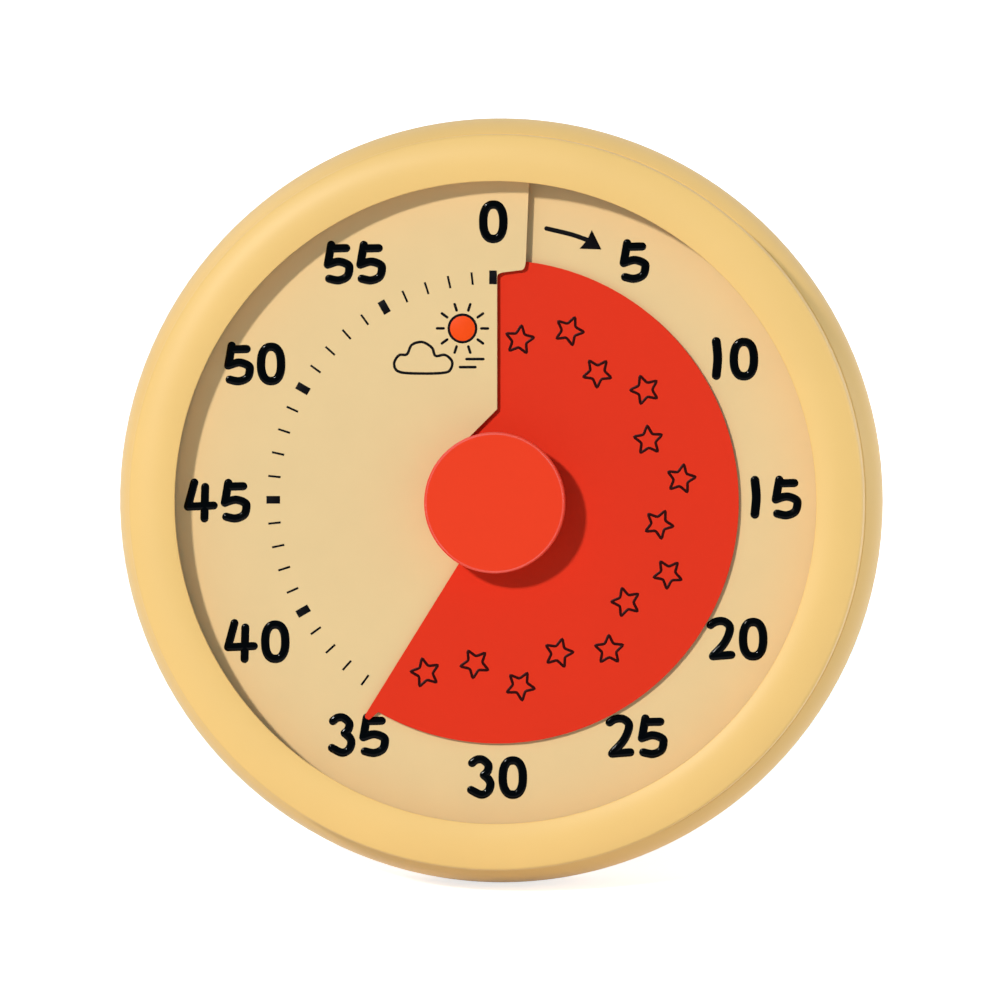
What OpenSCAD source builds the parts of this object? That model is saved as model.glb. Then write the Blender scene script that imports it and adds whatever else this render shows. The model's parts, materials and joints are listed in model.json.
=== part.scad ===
// Visual countdown timer: a 60 minute wind-up timer whose red disc winds out of a slit in the dial.
//
// Lengths are in millimetres. Each piece is drawn in the dial's own frame: x to the right,
// y towards 0 on the dial, z out of the dial towards the reader, the dial's centre at the origin.
// stand_up() then leans the whole timer back on its fold-out stand, with the floor at z = 0.
// Angles on the dial run clockwise from 0, as its minutes do.

/* [Case] */
// Radius of the opening over the dial
opening_r = 79.6; // [72:0.1:88]
// Width of the front ring, from the opening to its outer edge
ring_w = 11.6; // [10.6:0.1:15]
// Height of the front ring's crest over the middle of the dial
ring_crest = 10.2; // [9.6:0.1:12]
// Distance of the crest from the opening
crest_in = 4.5; // [3.5:0.1:6]
// Radius of the front ring's arched face
ring_face_r = 15; // [14:0.5:20]
// How far the rear casing flares out past the front ring
flare = 3.8; // [2.5:0.1:5]
// Depth of the seam between front ring and rear casing behind the dial
seam_depth = 2; // [1:0.1:3]
// Depth of the casing's widest circle behind the dial
widest_depth = 13.5; // [12:0.1:15]
// Depth of the flat back behind the dial
back_depth = 28; // [27:0.1:32]
// Radius of the rounding between the casing's side and its back
corner_r = 12; // [10:0.1:13]
// Thickness of the moulded walls
wall = 2.2; // [1.8:0.1:2.8]
// Number of screws that hold the front ring to the casing
case_screws = 6; // [6]

/* [Stance] */
// Lean of the dial back from upright, in degrees
lean = 12; // [8:0.5:16]
// Opening angle of the stand, in degrees
stand_open = 24; // [20:0.5:28]
// Width of the stand's leg
stand_w = 46; // [36:1:50]
// Thickness of the stand's leg
stand_t = 4; // [3:0.1:4.6]
// Height of the stand's pivot over the dial's centre
stand_pivot_y = 20; // [12:0.5:24]
// Radius of the stand's hinge pin
stand_pin_r = 1.5; // [1.2:0.1:1.7]
// Thickness of the rubber pad under the stand's foot
foot_pad_t = 2.5; // [1.5:0.1:4]

/* [Dial and disc] */
// Climb of the dial sheet and of the disc in one turn
pitch = 3; // [2.8:0.05:3.2]
// Thickness of the dial sheet
dial_t = 0.8; // [0.6:0.05:1]
// Thickness of the red disc
disc_t = 0.5; // [0.4:0.05:0.7]
// Radius of the red disc
disc_r = 60.2; // [54:0.1:64]
// How far the disc's pointer tip reaches past its edge
tip_reach = 2.9; // [1:0.1:3.5]
// Width of the pointer tip along the disc's edge
tip_w = 2; // [1.5:0.1:4]
// Minutes that the disc shows as drawn
set_minutes = 35.3; // [5:0.1:55]
// How far the upper sheet laps over the slit outside the disc
slit_lap = 8; // [5:0.1:10]
// Height at which the slit steps in towards the centre line
slit_step_y = 57; // [54:0.1:57.4]
// Height at which the slit turns off at 45 degrees towards the hub
slit_turn_y = 23; // [20:0.1:30]

/* [Knob] */
// Radius of the knob
knob_r = 17.5; // [15:0.1:20]
// Height of the knob's face over the dial
knob_top = 12; // [11:0.1:13]
// Height of the knob's underside over the dial
knob_under = 4.4; // [4.2:0.1:5]
// How far the knob's grip narrows towards the dial
knob_waist = 2.3; // [1:0.1:3]

/* [Movement] */
// Distance from the dial to the front plate's face
movement_depth = 5; // [4.6:0.1:5.6]
// Space between the movement's plates
plate_gap = 11.8; // [11.8:0.1:12.4]
// Thickness of the movement's plates
plate_t = 1.2; // [1:0.1:1.4]
// Width of the movement's plates
plate_w = 76; // [74:0.5:80]
// Height of the movement's plates
plate_h = 54; // [52:0.5:56]
// Radius of the main arbor
arbor_r = 2.5; // [2.2:0.1:2.8]
// Radius of the train's pivots
pivot_r = 0.8; // [0.6:0.05:1]
// Teeth of the great wheel on the main arbor
great_teeth = 72; // [72]
// Leaves of the second pinion
second_leaves = 12; // [12]
// Teeth of the second wheel and of the third wheel
wheel_teeth = 50; // [50]
// Leaves of the third pinion and of the escape pinion
pinion_leaves = 10; // [10]
// Teeth of the escape wheel
escape_teeth = 24; // [20:1:30]
// Module of the great wheel's teeth
great_module = 0.5; // [0.48:0.01:0.52]
// Module of the other wheels' teeth
train_module = 0.4; // [0.38:0.01:0.42]
// Radius of the bell
bell_r = 20; // [17:0.5:21]
// Height of the bell's centre over the dial's centre
bell_y = 50; // [49:0.5:52]

/* [Fits] */
// Clearance round a shaft that turns
running = 0.05; // [0.02:0.01:0.08]
// Clearance round a piece that is pushed or screwed home
push = 0.02; // [0.01:0.01:0.04]
// Clearance between moulded pieces that slide into each other
moulded_gap = 0.1; // [0.05:0.01:0.2]

/* [Hidden] */
$fn = 96;

// A hair's breadth by which cutters pass the faces that they cut
cut = 0.05;

// Dial and disc
hub_r = 9;
hub_margin = 0.6;
sleeve_r = 5.4;
spline_r = 6.6;
spline_w = 1.6;
dial_r = opening_r + 2;
dial_posts = 8;
dial_post_r = 1.4;
dial_post_ring_r = dial_r - dial_post_r - 0.3;
sheet_under = 2;
slit_run_x = 0;
slit_bend = 8.5;
dial_hole_r = hub_r + 1.6;
sheet_step = 6;
set_angle = 6 * set_minutes;
disc_cut = 4;
tip_round = 0.25;
tip_flat = 0.6;
tip_end = 1.3;

// Case, from the middle outwards
ring_mid_r = opening_r + ring_w / 2;
ring_r = opening_r + ring_w;
face_mid_r = opening_r + crest_in;
face_mid_z = ring_crest - ring_face_r;
ring_edge_in = 0.8;
ring_edge_out = 1.2;
case_r = ring_r + flare;
lip_z = pitch / 2 + dial_t / 2 + 0.35;
seam_z = -seam_depth;
back_z = -back_depth;
widest_z = -widest_depth;
seam_chamfer = 0.35;
tongue_t = 1.6;
tongue_l = 3.6;
tongue_r = ring_r - 2.3;
shelf_z = seam_z - tongue_l - 0.4;
shelf_t = 2;
shelf_r = dial_post_ring_r - dial_post_r - 1.5;
// The casing's side is one arc from the seam past its widest circle; a tighter one rounds it into the back
side_r = (pow(widest_depth - seam_depth, 2) + pow(flare, 2)) / (2 * flare);
side_mid_r = case_r - side_r;
side_start = asin((widest_depth - seam_depth) / side_r);
corner_turn = asin((back_depth - corner_r - widest_depth) / (side_r - corner_r));
corner_mid_r = side_mid_r + (side_r - corner_r) * cos(corner_turn);
corner_mid_z = -(back_depth - corner_r);

// Screws of the case
screw_boss_r = 2.8;
screw_ring_r = ring_mid_r;
screw_r = 1.35;
screw_head_r = 2.7;
screw_head_h = 2;
screw_seat_t = 2.5;
screw_seat_z = shelf_z - shelf_t - screw_seat_t;
screw_reach = 14;
screw_tip_z = screw_seat_z + screw_reach;
screw_gap = 0.25;
well_r = screw_head_r + 0.5;
well_wall = 1.4;

// Knob
knob_rim = 0.5;
knob_chamfer = 0.5;
knob_grip_z = knob_top - 2.5;
knob_wall = 2.4;
knob_face_t = 2;
knob_socket_r = 5;
arbor_top = knob_top - 3;
flat_x = arbor_r - 0.7;

// Movement levels, from the front plate back
front_z = -movement_depth;
train_front = front_z - plate_t;
train_back = train_front - plate_gap;
rear_z = train_back - plate_t;
wheel_t = 0.8;
wheel_hub = 2;
wheel_rim = 1.4;
spoke_w = 1.6;
great_z = train_front - 2.2;
great_t = 1.2;
spring_top = great_z - 1.2;
spring_h = 5.9;
cam_z = train_back + 0.6;
second_z = train_back + 0.8;
third_z = train_front - 5.8;
escape_z = train_back + 2.8;
balance_z = train_front - 3.4;
pinion_over = 0.6;
bush_over = 0.6;
arbor_over = 0.8;

// Movement plan
second_from = -20;
second_at = polar(great_module * (great_teeth + second_leaves) / 2, second_from);
train_apart = train_module * (wheel_teeth + pinion_leaves) / 2;
third_from = 50;
third_at = second_at + polar(train_apart, third_from);
escape_from = 110;
escape_at = third_at + polar(train_apart, escape_from);
escape_r = 7;
escape_tooth = 1.5;
escape_rim = 1.1;
escape_hub = 1.6;
pallet_apart = 10;
pallet_from = 120;
pallet_spread = 4.6;
pallet_w = 1.2;
pallet_t = 0.8;
pallet_pin_r = 0.4;
pallet_over = 0.4;
pallet_hub_r = 2;
pallet_at = escape_at + polar(pallet_apart, pallet_from);
balance_r = 8;
pressure = 20;
wheel_addendum = 0.55;
pinion_addendum = 0.85;
dedendum = 1.25;
tooth_slack = 0.08;
collet_r = 4.4;
spring_in_r = collet_r + 0.5;
spring_out_r = 16;
spring_turns = 6;
spring_t = 0.45;
spring_steps = 18;
spring_post_r = 1.5;
spring_post_x = -(spring_out_r + spring_post_r + 0.4);
cam_r = 9;
cam_notch_r = 2;
hammer_at = [-12, 21];
hammer_head_r = 1.8;
hammer_gap = 0.7;
hammer_head_at = [0, bell_y - bell_r - hammer_gap - hammer_head_r];
hammer_head_h = 2;
hammer_boss_r = 2.2;
hammer_arm_w = 1.8;
// The tail lies along a tangent of the cam, clear of its edge by more than the hammer's swing
tail_r = cam_r + hammer_arm_w / 2 + 1.5;
tail_angle = atan2(hammer_at[1], hammer_at[0]) + acos(tail_r / norm(hammer_at));
pillar_r = 2;
pillar_tenon_r = 1.2;
pillar_in = 4;
pillar_corner_in = 5;
plate_corner = 6;
movement_screw_x = plate_w / 2 - 5;
movement_screw_y = plate_h / 2 - 11;
movement_screw_r = 1.2;
movement_screw_bite = 4.5;
movement_head_r = 2.4;
movement_head_h = 1.6;
post_r = 3;
bore_over = 1;
bush_r = 4.5;

// Bell
bell_t = 1;
bell_crown_drop = 7.3;
bell_crown_z = train_front - bell_crown_drop;
bell_h = 9;
bell_round_r = 5;
bell_screw_r = 1.5;
bell_screw_l = 6;
bell_head_r = 3;
bell_head_h = 1.8;
slot_w = 2.4;
slot_apart = 6;
slot_from = post_r + 1.5;
slot_end_r = bell_r - 4;

// Back
magnet_r = 8;
magnet_t = 3;
magnet_at = [62, 28];
magnet_wall = 1.6;
recess_wall = 2;
recess_gap = 0.2;
recess_z = rear_z - arbor_over - recess_gap - recess_wall;
recess_depth = recess_z - back_z;
recess_side = 0.6;
barrel_r = stand_pin_r + 1.1;
barrel_gap = 0.2;
pivot_z = recess_z - barrel_r - barrel_gap;
// The heel meets the recess's floor when the stand is open
heel_h = (barrel_r + barrel_gap - push) / sin(stand_open);
recess_top_y = stand_pivot_y + norm([heel_h, barrel_r]) + recess_side;

// Stance: the floor touches the casing's side arc where its normal points straight down
floor_drop = side_mid_r * cos(lean) + widest_depth * sin(lean) + side_r;
leg_lean = stand_open - lean;
pivot_height = stand_pivot_y * cos(lean) + pivot_z * sin(lean) + floor_drop;
pivot_back = stand_pivot_y * sin(lean) - pivot_z * cos(lean);
leg_l = pivot_height / cos(leg_lean);
leg_mid_z = barrel_r - recess_side - stand_t / 2 - 0.6;
foot_back = pivot_height * tan(leg_lean) - leg_mid_z / cos(leg_lean);
foot_w = stand_t / cos(leg_lean);
foot_over = 5;
foot_pad_in = 2;
window_side = 10;
window_top = 20;
window_foot = 24;
ring_front = face_mid_r * sin(lean) + face_mid_z * cos(lean) + ring_face_r;
foot_rear = pivot_back + foot_back + foot_w / 2;
centre_y = (ring_front - foot_rear) / 2;

// Point at a distance and at an angle counted anticlockwise from x
function polar(r, a) = [r * cos(a), r * sin(a)];

// Point of a sheet at radius r, at an angle counted clockwise from 0 on the dial
function on_dial(r, a, z) = [r * sin(a), r * cos(a), z];

// Height of the middle of the dial sheet at a dial angle
function dial_height(a) = pitch * (a / 360 - 0.5);

// Leans the timer back on its stand, with the floor at z = 0 and the middle of its footprint at the origin
module stand_up() {
    translate([0, centre_y, floor_drop]) rotate([90 - lean, 0, 0]) children();
}

// Places copies on a circle round the dial's axis
module around(count, r) {
    for (i = [0:count - 1]) rotate([0, 0, 360 * i / count]) translate([r, 0, 0]) children();
}

// Cylinder from one height to another
module rod(r, from, to) {
    translate([0, 0, min(from, to)]) cylinder(r = r, h = abs(to - from));
}

// Revolved ring from one height to another
module tube(outer, inner, from, to) {
    difference() {
        rod(outer, from, to);
        rod(inner, from - cut, to + cut);
    }
}

// ---- Case ----

// Height of the middle of an edge's rounding e, at radius r, where it runs smoothly into the ring's face
function edge_height(r, e) = face_mid_z + sqrt(pow(ring_face_r - e, 2) - pow(r - face_mid_r, 2));

// Cross-section of the front ring: an arched face on two walls, the outer one with a tongue into the casing
module ring_profile() {
    tongue_in_r = tongue_r - tongue_t;
    middle = [face_mid_r, face_mid_z];
    inner = [opening_r + ring_edge_in, edge_height(opening_r + ring_edge_in, ring_edge_in)];
    outer = [ring_r - ring_edge_out, edge_height(ring_r - ring_edge_out, ring_edge_out)];
    difference() {
        union() {
            intersection() {
                translate(middle) circle(r = ring_face_r);
                polygon([inner, middle + 2 * (inner - middle), middle + 2 * (outer - middle), outer]);
            }
            translate(inner) circle(r = ring_edge_in, $fn = 32);
            translate(outer) circle(r = ring_edge_out, $fn = 32);
            polygon([[opening_r, lip_z], [opening_r, inner[1]], inner, outer, [ring_r, outer[1]],
                [ring_r, seam_z + seam_chamfer], [ring_r - seam_chamfer, seam_z], [tongue_in_r, seam_z],
                [tongue_in_r, lip_z]]);
            translate([tongue_in_r, seam_z - tongue_l]) square([tongue_t, tongue_l + cut]);
        }
        intersection() {
            translate(middle) circle(r = ring_face_r - wall);
            polygon([[opening_r + wall, shelf_z], [opening_r + wall, ring_crest], [ring_r - wall, ring_crest],
                [ring_r - wall, lip_z], [tongue_in_r, seam_z + wall], [tongue_in_r, shelf_z]]);
        }
    }
}

module bezel_ring() {
    color("navajowhite") stand_up() difference() {
        union() {
            rotate_extrude($fn = 180) ring_profile();
            around(case_screws, screw_ring_r) rod(screw_boss_r, shelf_z, ring_crest - wall / 2);
        }
        around(case_screws, screw_ring_r) rod(screw_r + push, shelf_z - cut, screw_tip_z + 1);
    }
}

// Cross-section of the casing as if it were solid, drawn in by inset, up to a height
module casing_section(inset, top) {
    out = case_r + cut;
    translate([corner_mid_r, corner_mid_z]) circle(r = corner_r - inset, $fn = 64);
    polygon([[0, back_z + inset], [corner_mid_r, back_z + inset], [corner_mid_r, corner_mid_z],
        [side_mid_r, widest_z], [side_mid_r, top], [0, top]]);
    intersection() {
        translate([side_mid_r, widest_z]) circle(r = side_r - inset, $fn = 96);
        polygon([[side_mid_r - cut, widest_z], [side_mid_r - cut, top], [out, top],
            [out, widest_z - (out - side_mid_r) * tan(corner_turn)]]);
    }
}

module casing_solid() {
    rotate_extrude($fn = 180) difference() {
        casing_section(0, seam_z);
        polygon([[ring_r - seam_chamfer, seam_z], [case_r, seam_z],
            [case_r, seam_z - (case_r - ring_r) / 1.6]]);
    }
}

module stand_recess(grow) {
    half_w = stand_w / 2 + recess_side + grow;
    translate([-half_w, -case_r, back_z - 1])
        cube([2 * half_w, case_r + recess_top_y + grow, recess_depth + grow + 1]);
}

// Post moulded on the casing's back wall
module back_post(at, r, top, bore) {
    translate([at[0], at[1], 0]) tube(r, bore, back_z + wall / 2, top);
}

module at_movement_screws() {
    for (x = [-1, 1], y = [-1, 1]) translate([x * movement_screw_x, y * movement_screw_y, 0]) children();
}

module sound_slots() {
    for (i = [-2:2]) {
        half = sqrt(pow(slot_end_r, 2) - pow(i * slot_apart, 2));
        translate([i * slot_apart, bell_y, 0]) {
            translate([-slot_w / 2, slot_from, back_z - 1]) cube([slot_w, half - slot_from, wall + 2]);
            translate([-slot_w / 2, -half, back_z - 1]) cube([slot_w, half - slot_from, wall + 2]);
        }
    }
}

module rear_casing() {
    color("burlywood") stand_up() difference() {
        union() {
            difference() {
                casing_solid();
                rotate_extrude($fn = 180) {
                    casing_section(wall, shelf_z - shelf_t);
                    translate([0, shelf_z - shelf_t - 1]) square([shelf_r, shelf_t + 2]);
                    translate([0, shelf_z]) square([tongue_r + moulded_gap, seam_z - shelf_z + 1]);
                }
            }
            intersection() {
                casing_solid();
                union() {
                    stand_recess(recess_wall);
                    around(case_screws, screw_ring_r) rod(well_r + well_wall, back_z, shelf_z - shelf_t / 2);
                }
            }
            for (x = [-1, 1]) translate([x * magnet_at[0], magnet_at[1], 0])
                rod(magnet_r + moulded_gap + magnet_wall, back_z + wall / 2, back_z + magnet_t + magnet_wall);
            at_movement_screws() rod(post_r, back_z + wall / 2, rear_z);
            translate([0, bell_y, 0]) rod(post_r, back_z + wall / 2, bell_crown_z - bell_t);
        }
        stand_recess(0);
        around(case_screws, screw_ring_r) {
            rod(well_r, back_z - 2, screw_seat_z);
            rod(screw_r + screw_gap, screw_seat_z - cut, shelf_z + cut);
        }
        for (x = [-1, 1]) translate([x * magnet_at[0], magnet_at[1], 0])
            rod(magnet_r + moulded_gap, back_z - cut, back_z + magnet_t + moulded_gap);
        at_movement_screws()
            rod(movement_screw_r + push, rear_z - movement_screw_bite - bore_over, rear_z + cut);
        translate([0, bell_y, 0])
            rod(bell_screw_r + push, bell_crown_z - bell_screw_l - bore_over, bell_crown_z);
        translate([-stand_w, stand_pivot_y, pivot_z]) rotate([0, 90, 0])
            cylinder(r = stand_pin_r + push, h = 2 * stand_w);
        sound_slots();
    }
}

// Pan-head screw, its head towards the back, with the seat of the head at z = 0
module screw(shank_r, length, head_r, head_h) {
    rod(shank_r, 0, length);
    difference() {
        rod(head_r, -head_h, 0);
        for (turn = [0, 90]) rotate([0, 0, turn])
            translate([-head_r * 0.6, -head_r * 0.12, -head_h - cut])
                cube([head_r * 1.2, head_r * 0.24, head_h / 2]);
    }
}

module casing_screws() {
    color("silver") stand_up() around(case_screws, screw_ring_r) translate([0, 0, screw_seat_z])
        screw(screw_r, screw_reach, screw_head_r, screw_head_h);
}

// ---- Dial and disc ----

// A closed strip swept round the dial's axis. Each section is a loop of points whose first half runs out
// along the top, from the hub to the rim, and whose second half runs back in along the underside.
module swept_sheet(sections) {
    count = len(sections[0]);
    half = count / 2;
    last = len(sections) - 1;
    skin = [for (i = [0:last - 1], k = [0:count - 1])
        let (a = i * count + k, b = i * count + (k + 1) % count)
        each [[a, b, b + count], [a, b + count, a + count]]];
    function lid(i, flip) = [for (j = [0:half - 2])
        let (a = i * count + j, b = a + 1, c = i * count + count - 2 - j, d = c + 1)
        each flip ? [[a, c, b], [a, d, c]] : [[a, b, c], [a, c, d]]];
    polyhedron([for (s = sections) each s], concat(skin, lid(0, true), lid(last, false)), convexity = 8);
}

// Edge of the upper sheet along the slit, from the hub's hole to the rim: a turn of 45 degrees, a straight
// run beside the centre line, and a rounded step out to the lap
function slit_edge() =
    let (turn = [slit_run_x, slit_turn_y], bend = turn - [slit_bend, slit_bend])
    [bend * dial_hole_r / norm(bend), bend, turn - [slit_bend, slit_bend] * 0.65, turn,
     [slit_run_x, slit_step_y - 1], [slit_run_x + 0.5, slit_step_y - 0.4],
     [slit_run_x + 1.4, slit_step_y - 0.1], [slit_lap - 1.9, slit_step_y + 0.5],
     [slit_lap - 1.2, slit_step_y + 1.2], [slit_lap - 0.9, slit_step_y + 2.4],
     [slit_lap, sqrt(pow(dial_r, 2) - pow(slit_lap, 2))]];

// The sheet's sections, each a loop whose corners lie at the radii of the slit's corners
module dial_sheet() {
    edge = slit_edge();
    lanes = len(edge);
    steps = round((360 + sheet_under) / sheet_step);
    function corner(lane, i, side) =
        let (a = atan2(edge[lane][0], edge[lane][1]) - sheet_under + (360 + sheet_under) * i / steps)
        on_dial(norm(edge[lane]), a, dial_height(a) + side * dial_t / 2);
    swept_sheet([for (i = [0:steps]) concat([for (lane = [0:lanes - 1]) corner(lane, i, 1)],
        [for (lane = [lanes - 1:-1:0]) corner(lane, i, -1)])]);
}

module dial() {
    color("wheat") stand_up() {
        dial_sheet();
        for (i = [0:dial_posts - 1])
            let (a = (i + 0.5) * 360 / dial_posts, foot = on_dial(dial_post_ring_r, a, 0))
            translate([foot[0], foot[1], 0]) rod(dial_post_r, shelf_z, dial_height(a));
    }
}

// Radius of the disc's edge, u tip widths back from its leading edge: a rounded tip that flows into the disc
function disc_edge(u) = disc_r + tip_reach *
    (u < tip_round ? 1 - tip_round * pow(1 - u / tip_round, 2) : u < tip_flat ? 1 :
    u < tip_end ? (1 + cos(180 * (u - tip_flat) / (tip_end - tip_flat))) / 2 : 0);

module red_disc() {
    tip = tip_w / disc_r * 180 / PI;
    steps = round((360 - disc_cut) / sheet_step);
    start = tip_end * tip;
    stations = concat([for (u = [0, 0.1, tip_round, tip_flat, 0.75, 0.9, 1, 1.15]) u * tip],
        [for (i = [0:steps]) start + (360 - disc_cut - start) * i / steps]);
    color("tomato") stand_up() swept_sheet([for (i = [len(stations) - 1:-1:0])
        let (a = set_angle - stations[i], z = pitch * a / 360, edge_r = disc_edge(stations[i] / tip))
        [on_dial(hub_r + push, a, z + disc_t / 2), on_dial(edge_r, a, z + disc_t / 2),
         on_dial(edge_r, a, z - disc_t / 2), on_dial(hub_r + push, a, z - disc_t / 2)]]);
}

module disc_hub() {
    high = pitch * set_angle / 360 + hub_margin;
    low = high - pitch - 2 * hub_margin;
    color("tomato") stand_up() difference() {
        rod(hub_r, low, high);
        rod(sleeve_r + running, low - 1, high + 1);
        for (turn = [0, 90]) rotate([0, 0, turn])
            translate([-spline_r - running, -spline_w / 2 - running, low - 1])
                cube([2 * (spline_r + running), spline_w + 2 * running, high - low + 2]);
    }
}

module drive_sleeve() {
    low = front_z + 0.3;
    color("white") stand_up() difference() {
        union() {
            rod(sleeve_r, low, knob_under);
            for (turn = [0, 90]) rotate([0, 0, turn])
                translate([-spline_r, -spline_w / 2, low]) cube([2 * spline_r, spline_w, knob_under - low]);
        }
        rod(arbor_r + push, low - 1, knob_under + 1);
    }
}

module knob() {
    color("orangered") stand_up() difference() {
        rotate_extrude() difference() {
            union() {
                polygon([[0, knob_under], [knob_r - knob_waist, knob_under],
                    [knob_r - knob_waist + knob_chamfer / 2, knob_under + knob_chamfer],
                    [knob_r, knob_grip_z], [knob_r, knob_top - knob_rim],
                    [knob_r - knob_rim, knob_top], [0, knob_top]]);
                translate([knob_r - knob_rim, knob_top - knob_rim]) circle(r = knob_rim, $fn = 32);
            }
            translate([knob_socket_r, knob_under - 1])
                square([knob_r - knob_waist - knob_wall - knob_socket_r,
                    knob_top - knob_face_t - knob_under + 1]);
        }
        d_bore();
    }
}

// D-shaped socket for the arbor's flat
module d_bore() {
    difference() {
        rod(arbor_r + push, knob_under - 1, arbor_top + push);
        translate([flat_x + push, -arbor_r * 2, knob_under - 2]) cube([arbor_r, arbor_r * 4, knob_top]);
    }
}

module arbor() {
    color("silver") stand_up() difference() {
        rod(arbor_r, rear_z - arbor_over, arbor_top);
        translate([flat_x, -arbor_r * 2, knob_under]) cube([arbor_r, arbor_r * 4, knob_top]);
    }
}

// ---- Movement ----

// Involute of a base circle, in degrees
function involute(a) = tan(a) * 180 / PI - a;

// Half the angle that a tooth covers at radius r
function half_tooth(n, m, r) =
    let (pitch_r = m * n / 2, base_r = pitch_r * cos(pressure), at = max(r, base_r))
    90 / n - tooth_slack / 2 / pitch_r * 180 / PI + involute(pressure) - involute(acos(base_r / at));

module gear_outline(n, m, addendum) {
    pitch_r = m * n / 2;
    base_r = pitch_r * cos(pressure);
    root_r = pitch_r - dedendum * m;
    tip_r = pitch_r + addendum * m;
    radii = root_r < base_r ? [root_r, base_r, pitch_r, tip_r] : [root_r, pitch_r, tip_r];
    polygon([for (k = [0:n - 1]) each concat(
        [for (r = radii) polar(r, 360 * k / n - half_tooth(n, m, r))],
        [for (i = [len(radii) - 1:-1:0]) polar(radii[i], 360 * k / n + half_tooth(n, m, radii[i]))])]);
}

// Openings between a wheel's spokes
module crossings(inner, outer, count) {
    difference() {
        circle(r = outer);
        circle(r = inner);
        for (i = [0:count - 1]) rotate([0, 0, 360 * i / count])
            translate([0, -spoke_w / 2]) square([outer + 1, spoke_w]);
    }
}

// Toothed wheel with one tooth turned towards an angle
module wheel(n, m, thick, bore, toward, spokes) {
    rim_r = m * n / 2 - dedendum * m - wheel_rim;
    rotate([0, 0, toward]) linear_extrude(thick) difference() {
        gear_outline(n, m, wheel_addendum);
        crossings(bore + wheel_hub, rim_r, spokes);
        circle(r = bore);
    }
}

// Arbor with pivots in both plates and a pinion cut on it, one gap turned towards an angle
module pinion(n, m, from, to, toward) {
    rod(pivot_r, rear_z, front_z);
    rotate([0, 0, toward + 180 / n]) translate([0, 0, from]) linear_extrude(to - from)
        gear_outline(n, m, pinion_addendum);
}

module at(place) {
    translate([place[0], place[1], 0]) children();
}

module plate_outline() {
    square([plate_w - 2 * plate_corner, plate_h], center = true);
    square([plate_w, plate_h - 2 * plate_corner], center = true);
    for (x = [-1, 1], y = [-1, 1])
        translate([x * (plate_w / 2 - plate_corner), y * (plate_h / 2 - plate_corner)])
            circle(r = plate_corner);
}

module at_pillars() {
    for (x = [-1, 1], y = [-1, 1])
        translate([x * (plate_w / 2 - pillar_in), y * (plate_h / 2 - pillar_corner_in), 0]) children();
}

module plate_holes() {
    circle(r = bush_r + push);
    for (place = [second_at, third_at, escape_at, pallet_at, hammer_at])
        at(place) circle(r = pivot_r + running);
    at_pillars() circle(r = pillar_tenon_r + push);
}

module front_plate() {
    color("lightgray") stand_up() translate([0, 0, train_front]) linear_extrude(plate_t) difference() {
        plate_outline();
        plate_holes();
        at_movement_screws() circle(r = post_r);
    }
}

module rear_plate() {
    color("lightgray") stand_up() translate([0, 0, rear_z]) linear_extrude(plate_t) difference() {
        plate_outline();
        plate_holes();
        at_movement_screws() circle(r = movement_screw_r + push);
        translate([spring_post_x, 0]) circle(r = spring_post_r + push);
    }
}

module plate_pillars() {
    color("goldenrod") stand_up() at_pillars() {
        rod(pillar_r, train_back, train_front);
        rod(pillar_tenon_r, rear_z, front_z);
    }
}

module movement_screws() {
    color("silver") stand_up() at_movement_screws() translate([0, 0, train_back]) rotate([180, 0, 0])
        screw(movement_screw_r, plate_t + movement_screw_bite, movement_head_r, movement_head_h);
}

module front_bush() {
    color("goldenrod") stand_up() tube(bush_r, arbor_r + running, train_front - bush_over, front_z);
}

module rear_bush() {
    color("goldenrod") stand_up() tube(bush_r, arbor_r + running, rear_z, train_back + bush_over - 0.2);
}

module spring_post() {
    color("silver") stand_up() translate([spring_post_x, 0, 0]) rod(spring_post_r, rear_z, spring_top);
}

// Spiral strip, wound inwards from the spring post to the collet
module mainspring() {
    steps = spring_turns * spring_steps;
    function coil(i) = spring_out_r - (spring_out_r - spring_in_r) * i / steps;
    function turned(i) = 180 - 360 * i / spring_steps;
    color("slategray") stand_up() translate([0, 0, spring_top - spring_h]) linear_extrude(spring_h)
        polygon(concat([for (i = [0:steps]) polar(coil(i), turned(i))],
            [for (i = [steps:-1:0]) polar(coil(i) - spring_t, turned(i))]));
}

module spring_collet() {
    color("silver") stand_up() tube(collet_r, arbor_r + push, spring_top - spring_h, spring_top);
}

module great_wheel() {
    color("gold") stand_up() translate([0, 0, great_z])
        wheel(great_teeth, great_module, great_t, arbor_r + push, second_from, 5);
}

module strike_cam() {
    color("gold") stand_up() translate([0, 0, cam_z]) linear_extrude(wheel_t) difference() {
        circle(r = cam_r);
        rotate([0, 0, tail_angle - set_angle]) translate([cam_r, 0]) circle(r = cam_notch_r);
        circle(r = arbor_r + push);
    }
}

module second_pinion() {
    color("silver") stand_up() at(second_at) pinion(second_leaves, great_module,
        great_z - pinion_over, great_z + great_t + pinion_over, second_from + 180);
}

module second_wheel() {
    color("gold") stand_up() at(second_at) translate([0, 0, second_z])
        wheel(wheel_teeth, train_module, wheel_t, pivot_r + push, third_from, 4);
}

module third_pinion() {
    color("silver") stand_up() at(third_at) pinion(pinion_leaves, train_module,
        second_z - pinion_over, second_z + wheel_t + pinion_over, third_from + 180);
}

module third_wheel() {
    color("gold") stand_up() at(third_at) translate([0, 0, third_z])
        wheel(wheel_teeth, train_module, wheel_t, pivot_r + push, escape_from, 4);
}

module escape_pinion() {
    color("silver") stand_up() at(escape_at) pinion(pinion_leaves, train_module,
        third_z - pinion_over, third_z + wheel_t + pinion_over, escape_from + 180);
}

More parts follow.
